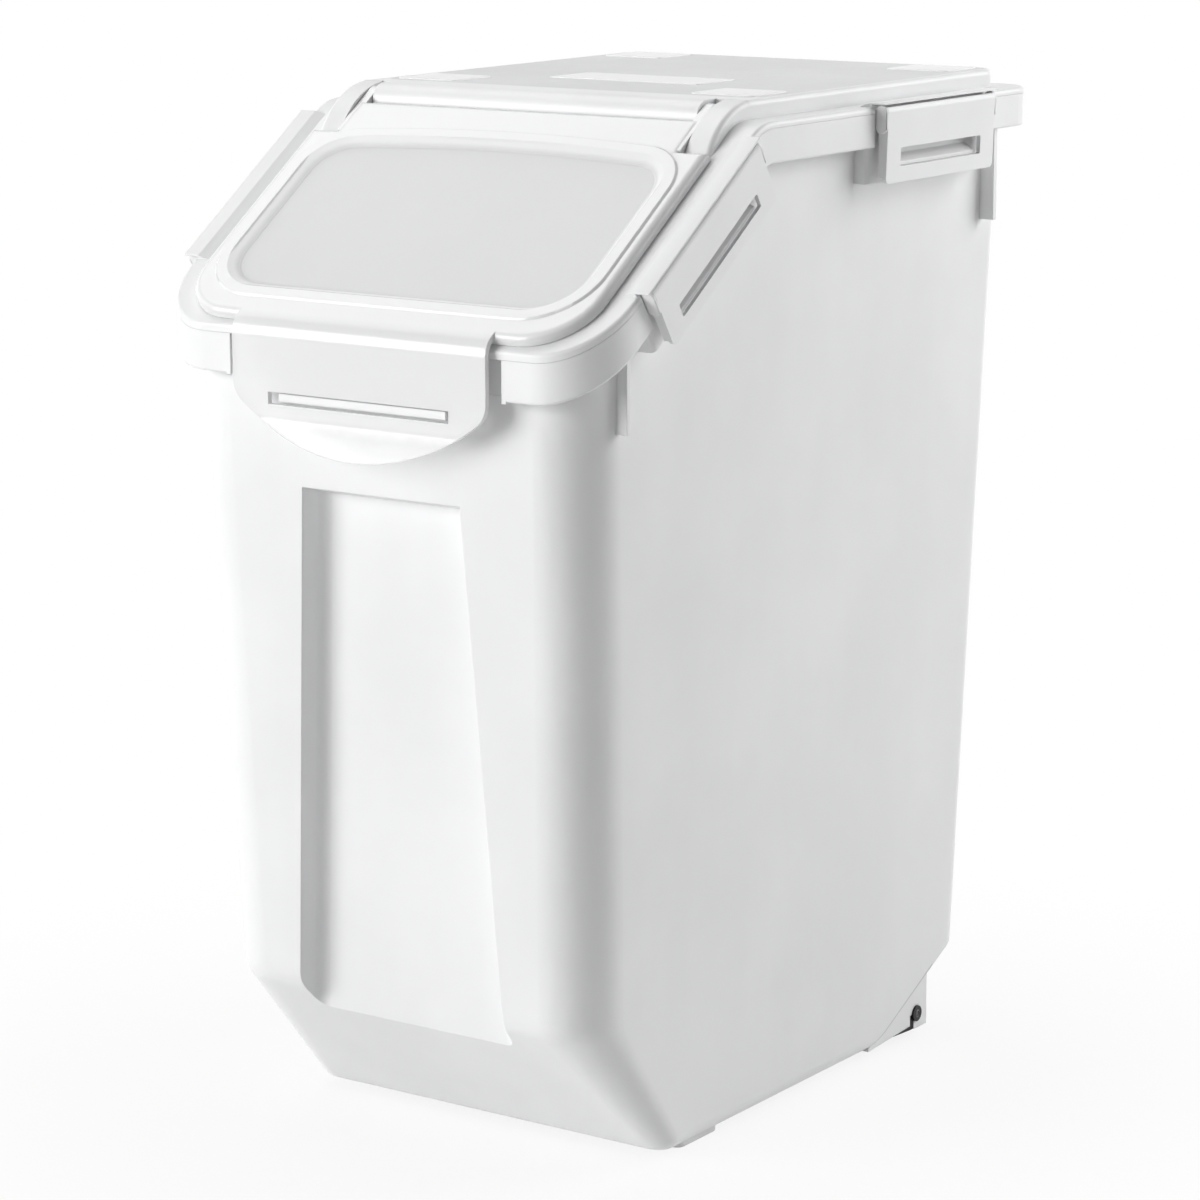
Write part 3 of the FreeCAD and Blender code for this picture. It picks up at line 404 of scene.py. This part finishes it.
def drum(radius, length, centre, turn, ends="NGON", sides=ROUND):
    bpy.ops.object.select_all(action="DESELECT")
    bpy.ops.mesh.primitive_cylinder_add(vertices=sides, radius=radius, depth=length, end_fill_type=ends,
                                        location=centre, rotation=turn)
    open_piece()


def round_edges(radius, steps):
    """Rounds the chosen edges."""
    bpy.ops.mesh.bevel(offset=radius, segments=steps, affect="EDGES")


def step_in(*steps):
    """Insets the chosen faces, one step after another, each by a width and a rise."""
    for width, rise in steps:
        bpy.ops.mesh.inset(thickness=width, depth=rise)


def join_doubles(reach):
    """Joins all points of the mesh in edit mode that lie closer than the reach."""
    bpy.ops.mesh.select_all(action="SELECT")
    bpy.ops.mesh.remove_doubles(threshold=reach)


def soften(name, width):
    """Rounds all sharp edges of the piece in hand."""
    rounding = bpy.context.object.modifiers.new(name, "BEVEL")
    rounding.width = width
    rounding.segments = 2
    rounding.limit_method = "ANGLE"
    rounding.angle_limit = math.radians(40)
    bpy.ops.object.modifier_apply(modifier=name)


def set_down(place, tilt):
    """Moves the piece in hand to its place on the lid and tilts it, and puts both in its mesh."""
    bpy.ops.object.mode_set(mode="OBJECT")
    bpy.context.object.location = place
    bpy.context.object.rotation_euler = (tilt, 0, 0)
    bpy.ops.object.transform_apply(location=True, rotation=True, scale=True)


def finish_piece(name, body, material, stands_for=None):
    """Names the piece in hand, gives it its finish and lets it ride on a body."""
    bpy.ops.object.mode_set(mode="OBJECT")
    bpy.ops.object.shade_smooth_by_angle(angle=math.radians(35))
    piece = bpy.context.object
    piece.name = name
    piece.data.name = name
    piece.data.materials.clear()
    piece.data.materials.append(material)
    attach(piece, body)
    if stands_for:
        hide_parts(stands_for)


def rounded_plate(node, up, corner_r, corner_steps, rim_r, rim_steps):
    """A plate as large as a node's box with round corners and a rolled rim at its face, whose flat is
    left chosen. The face is at the top where up is 1 and underneath where it is -1."""
    low, high, middle = box_of(node)
    face_z = high.z if up > 0 else low.z
    block(middle, high - low)
    choose(upright, "EDGE")
    round_edges(corner_r, corner_steps)
    choose(lambda edge: all(abs(v.co.z - face_z) < TINY for v in edge.verts), "EDGE")
    round_edges(rim_r, rim_steps)
    choose(lambda face: face.normal.z * up > 0.99 and len(face.verts) > 4)


# Pieces modelled over the plain solids
def panelled_foot(side):
    """Soft foot: rounded corners, a rolled lower edge and a sunk panel under it."""
    node = "front_foot_" + side
    border = 0.0018
    panel_draft = 0.0004
    panel_depth = 0.0010
    rounded_plate(node, -1, corner_r=0.0045, corner_steps=6, rim_r=0.0012, rim_steps=4)
    step_in((border, 0.0), (panel_draft, -panel_depth))
    finish_piece(node + "_tread", "tub", foot_white, node)


def crowned_pad(node):
    """Soft corner pad: rounded corners, a rolled top edge and a low crown."""
    shoulder = (0.0008, 0.00012)
    crown = (0.0007, 0.00005)
    rounded_plate(node, 1, corner_r=0.0025, corner_steps=6, rim_r=0.0004, rim_steps=4)
    step_in(shoulder, crown)
    finish_piece(node + "_crown", "lid", pad_white, node)


def bordered_label():
    """Bare label plate: rounded corners and a fine raised border."""
    border = 0.0006
    field_draft = 0.00012
    field_depth = 0.00018
    rounded_plate("label_plate", 1, corner_r=0.0010, corner_steps=5, rim_r=0.00012, rim_steps=3)
    step_in((border, 0.0), (field_draft, -field_depth))
    finish_piece("label_plate_bordered", "lid", label_white, "label_plate")


def grooved_tyre(side):
    """Soft tyre: a tube with rounded shoulders, three grooves round it and cross cuts between them."""
    node = "wheel_tyre_" + side
    low, high, middle = box_of(node)
    grooves = (-0.0072, 0.0, 0.0072)
    groove_half = 0.0006
    groove_draft = 0.0001
    groove_depth = 0.0007
    cut_low = 0.0010              # the cross cuts lie between these distances from the middle
    cut_high = 0.0062
    cut_pitch = 4                 # sides of the drum from one cross cut to the next

    def place_on_tyre(face):
        return face.calc_center_median() - middle

    def in_groove(face):
        return min(abs(place_on_tyre(face).x - place) for place in grooves) < groove_half / 2

    def in_cross_cut(face):
        place = place_on_tyre(face)
        turn = math.atan2(place.z, place.y) / (2 * math.pi)
        return cut_low < abs(place.x) < cut_high and round(turn * ROUND - 0.5) % cut_pitch == 0

    drum((high.z - low.z) / 2, high.x - low.x, middle, CROSSWAYS, ends="NOTHING")
    for groove in grooves:
        for edge_x in (groove - groove_half, groove + groove_half):
            bpy.ops.mesh.select_all(action="SELECT")
            bpy.ops.mesh.bisect(plane_co=(middle.x + edge_x, 0, 0), plane_no=(1, 0, 0))
    choose(in_groove)
    step_in((groove_draft, -groove_depth))
    choose(in_cross_cut)
    bpy.ops.mesh.inset(thickness=0.00035, depth=-0.0005, use_individual=True)
    bpy.ops.object.mode_set(mode="OBJECT")
    wall = bpy.context.object.modifiers.new("wall", "SOLIDIFY")
    wall.thickness = 0.0022
    wall.offset = -1.0
    bpy.ops.object.modifier_apply(modifier="wall")
    soften("shoulder", 0.00025)
    bpy.ops.object.mode_set(mode="EDIT")
    join_doubles(0.000003)
    finish_piece("wheel_tyre_%s_grooved" % side, "wheel_" + side, tyre_black, node)


def spoked_hub(side):
    """Wheel hub: a rim, a boss with the axle's bore, and six ribs between them on each face."""
    node = "wheel_hub_" + side
    low, high, middle = box_of(node)
    radius = (high.z - low.z) / 2
    rim_width = 0.0014
    dish = 0.0065                 # rim's edge to the web
    draft = 0.0002                # run of the rim's and the boss's walls
    boss_foot_r = 0.0056
    boss_rise = 0.0060
    bore_r = 0.00405
    rib_size = (0.0052, 0.0032, 0.0011)
    rib_ring_r = 0.0069           # axle's middle to the middle of a rib
    rib_out = 0.0075              # hub's middle to the middle of a rib, along the axle
    rib_count = 6
    first_rib_deg = 15

    def end_face(face):
        return abs(face.normal.x) > 0.9 and len(face.verts) > 4

    drum(radius, high.x - low.x, middle, CROSSWAYS)
    choose(end_face)
    step_in((rim_width, 0.0), (draft, -dish), (radius - rim_width - draft - boss_foot_r, 0.0),
            (draft, boss_rise), (boss_foot_r - draft - bore_r, 0.0))
    choose(end_face)
    bpy.ops.mesh.delete(type="ONLY_FACE")
    choose(lambda edge: edge.is_boundary, "EDGE")
    bpy.ops.mesh.bridge_edge_loops()
    bpy.ops.object.mode_set(mode="OBJECT")
    soften("edges", 0.0003)
    hub = bpy.context.object
    ribs = []
    for end in (-1, 1):
        for count in range(rib_count):
            angle = math.radians(360 / rib_count * count + first_rib_deg)
            away = Vector((end * rib_out, rib_ring_r * math.cos(angle), rib_ring_r * math.sin(angle)))
            block(middle + away, rib_size, (angle, 0, 0))
            bpy.ops.mesh.select_all(action="SELECT")
            round_edges(0.0002, 2)
            bpy.ops.object.mode_set(mode="OBJECT")
            ribs.append(bpy.context.object)
    bpy.ops.object.select_all(action="DESELECT")
    for piece in ribs + [hub]:
        piece.select_set(True)
    bpy.context.view_layer.objects.active = hub
    bpy.ops.object.join()
    finish_piece("wheel_hub_%s_spoked" % side, "wheel_" + side, hub_black, node)


def latch_cheeks(latch, side, middle, tilt):
    """Closed cheeks at the two ends of a latch, over the ends of its roll."""
    node = "%s_latch_%s" % (latch, side)
    out = 1 if side == "right" else -1
    thick = 0.0013
    tail = 0.0065                 # cheek runs this far down below the roll
    for name, end in (("upper", 1), ("lower", -1)):
        drum(roll_r, thick, (out * bead_x, end * (latch_half + thick / 2), -bead_depth), ENDWAYS, sides=40)
        choose(lambda face: face.normal.z < -0.05 and len(face.verts) == 4)
        bpy.ops.mesh.extrude_region_move(TRANSFORM_OT_translate={"value": (0, 0, -tail)})
        join_doubles(TINY)
        bpy.ops.mesh.normals_make_consistent(inside=False)
        choose(lambda edge: sharper_than(1.2, edge), "EDGE")
        round_edges(0.0003, 3)
        set_down(middle, tilt)
        finish_piece("%s_%s_cheek" % (node, name), node, latch_white)


def latch_hood(latch, side, middle, tilt):
    """Raised lip of the lid's edge over the bead that a latch hangs on, with a ramp on its inner side."""
    out = 1 if side == "right" else -1
    length = 0.105
    inner_x = 0.1196
    outer_x = 0.1281
    low_z = 0.0012                # lip above the deck
    top_z = 0.0020
    root_x = 0.1210               # lip stands on the deck inside this, and clear of the roll outside it
    root_drop = 0.0014            # foot of the ramp below the lip
    ramp_run = 0.0055
    ramp_part = ramp_run * (top_z - low_z) / (top_z - low_z + root_drop)
    on_ramp_x = (inner_x + root_x) / 2

    def inside(edge, below, above):
        return all(abs(v.co.x) < on_ramp_x and above < v.co.z < below for v in edge.verts)

    block((out * (inner_x + outer_x) / 2, 0, (low_z + top_z) / 2), (outer_x - inner_x, length, top_z - low_z))
    bpy.ops.mesh.select_all(action="SELECT")
    bpy.ops.mesh.bisect(plane_co=(out * root_x, 0, 0), plane_no=(1, 0, 0))
    choose(lambda face: face.normal.z < -0.9 and abs(face.calc_center_median().x) < root_x)
    bpy.ops.mesh.extrude_region_move(TRANSFORM_OT_translate={"value": (0, 0, -root_drop)})
    choose(lambda edge: inside(edge, below=0, above=-root_drop), "EDGE")
    bpy.ops.transform.translate(value=(-out * ramp_run, 0, 0))
    choose(lambda edge: inside(edge, below=low_z + TINY, above=low_z - TINY), "EDGE")
    bpy.ops.transform.translate(value=(-out * ramp_part, 0, 0))
    choose(lambda edge: sharper_than(0.25, edge) and min(v.co.z for v in edge.verts) > low_z / 2, "EDGE")
    round_edges(0.00038, 4)
    set_down(middle, tilt)
    finish_piece("%s_latch_%s_hood" % (latch, side), "lid", lid_white)


def axle_plug(side):
    """Small dished plug in the hollow end of the axle."""
    low, high, middle = box_of("rear_axle")
    out = 1 if side == "right" else -1
    end_x = high.x if side == "right" else low.x
    length = 0.003
    radius = 0.00195
    rounding = (0.0004, 0.00025)
    dish = (0.0003, -0.0006)
    dome = (0.0005, 0.0001)
    drum(radius, length, (end_x - out * length / 2, middle.y, middle.z), CROSSWAYS)
    choose(lambda face: face.normal.x * out > 0.9 and len(face.verts) > 4)
    step_in(rounding, dish, dome)
    finish_piece("axle_plug_" + side, "tub", plug_grey)


downhill = Vector((0, -math.cos(slope), -math.sin(slope)))
stations = (
    ("rear", Vector((0, rear_latch_y, deck_z)), 0.0),
    ("front", Vector((0, fold_y, deck_z)) + downhill * front_latch_s, slope),
)
bordered_label()
for side in ("right", "left"):
    panelled_foot(side)
    crowned_pad("front_pad_" + side)
    crowned_pad("rear_pad_" + side)
    grooved_tyre(side)
    spoked_hub(side)
    axle_plug(side)
    for make in (latch_cheeks, latch_hood):
        for latch, middle, tilt in stations:
            make(latch, side, middle, tilt)


# Floor, light and camera
def studio_floor():
    """A white floor that keeps the bin's shadow and fades to plain white away from it."""
    near_share = 0.85             # share of plain white close to the bin
    bpy.ops.object.select_all(action="DESELECT")
    bpy.ops.mesh.primitive_circle_add(vertices=96, radius=14.0, fill_type="NGON")
    floor = bpy.context.object
    floor.name = "studio_floor"
    finish = new_finish("floor_white")
    place = finish.place()
    seen = finish.seen()
    distance = finish.node("ShaderNodeVectorMath", {"operation": "LENGTH"}, {0: place}, output=1)
    plain_share = near_share + (1 - near_share) * finish.band(distance, 0.16, 0.46)
    grain = finish.noise(place, scale=300.0, detail=3.0)
    finish.shade(Base_Color=finish.blend(seen, grey(0.86), grey(0.97)),
                 Roughness=0.85 + (grain - 0.5) * 0.1, Specular_IOR_Level=0.0)
    plain = finish.node("ShaderNodeEmission", {}, {"Color": grey(1.0), "Strength": 1.0})
    shaded = Wire(finish, finish.shader.outputs[0])
    mixed = finish.node("ShaderNodeMixShader", {}, {0: plain_share * seen, 1: shaded, 2: plain})
    finish.put(finish.tree.nodes["Material Output"].inputs["Surface"], mixed)
    floor.data.materials.append(finish.owner)


def studio_world(ambient):
    """White all round where it is seen, and much dimmer as a light."""
    scene.world = bpy.data.worlds.new("studio")
    finish = Finish(scene.world)
    background = finish.tree.nodes["Background"]
    finish.put(background.inputs["Color"], grey(1.0))
    finish.put(background.inputs["Strength"], ambient + finish.seen() * (1 - ambient))


def softbox(name, towards, distance, size, power):
    """A square area light that faces the bin's middle."""
    middle = Vector((0.0, 0.0, 0.24))
    direction = Vector(towards).normalized()
    lamp = bpy.data.lights.new(name, "AREA")
    lamp.shape = "SQUARE"
    lamp.size = size
    lamp.energy = power
    light = bpy.data.objects.new(name, lamp)
    light.location = middle + direction * distance
    light.rotation_euler = direction.to_track_quat("Z", "Y").to_euler()
    scene.collection.objects.link(light)


def studio_camera(place, azimuth, elevation, roll, focal_length):
    """The camera at its place, turned round the bin, up from level and about its own axis."""
    right = Vector((math.cos(azimuth), math.sin(azimuth), 0.0))
    back = Vector((math.sin(azimuth) * math.cos(elevation), -math.cos(azimuth) * math.cos(elevation),
                   math.sin(elevation)))
    upward = back.cross(right)
    turned_right = right * math.cos(roll) + upward * math.sin(roll)
    turned_up = upward * math.cos(roll) - right * math.sin(roll)
    lens = bpy.data.cameras.new("camera")
    lens.sensor_fit = "HORIZONTAL"
    lens.sensor_width = 36.0
    lens.lens = focal_length
    camera = bpy.data.objects.new("camera", lens)
    turn = Matrix((turned_right, turned_up, back)).transposed().to_4x4()
    camera.matrix_world = Matrix.Translation(place) @ turn
    scene.collection.objects.link(camera)
    scene.camera = camera


studio_floor()
studio_world(ambient=0.105)
softbox("key_softbox", (-0.52, -0.75, 0.16), distance=4.5, size=3.0, power=203.0)
softbox("top_softbox", (-0.35, 0.10, 0.90), distance=2.2, size=1.6, power=16.5)
softbox("side_softbox", (0.55, 0.62, 0.40), distance=2.0, size=1.5, power=30.0)
studio_camera((1.0596, -1.5282, 0.6253), azimuth=math.radians(34.84), elevation=math.radians(11.89),
              roll=math.radians(-0.19), focal_length=119.27)
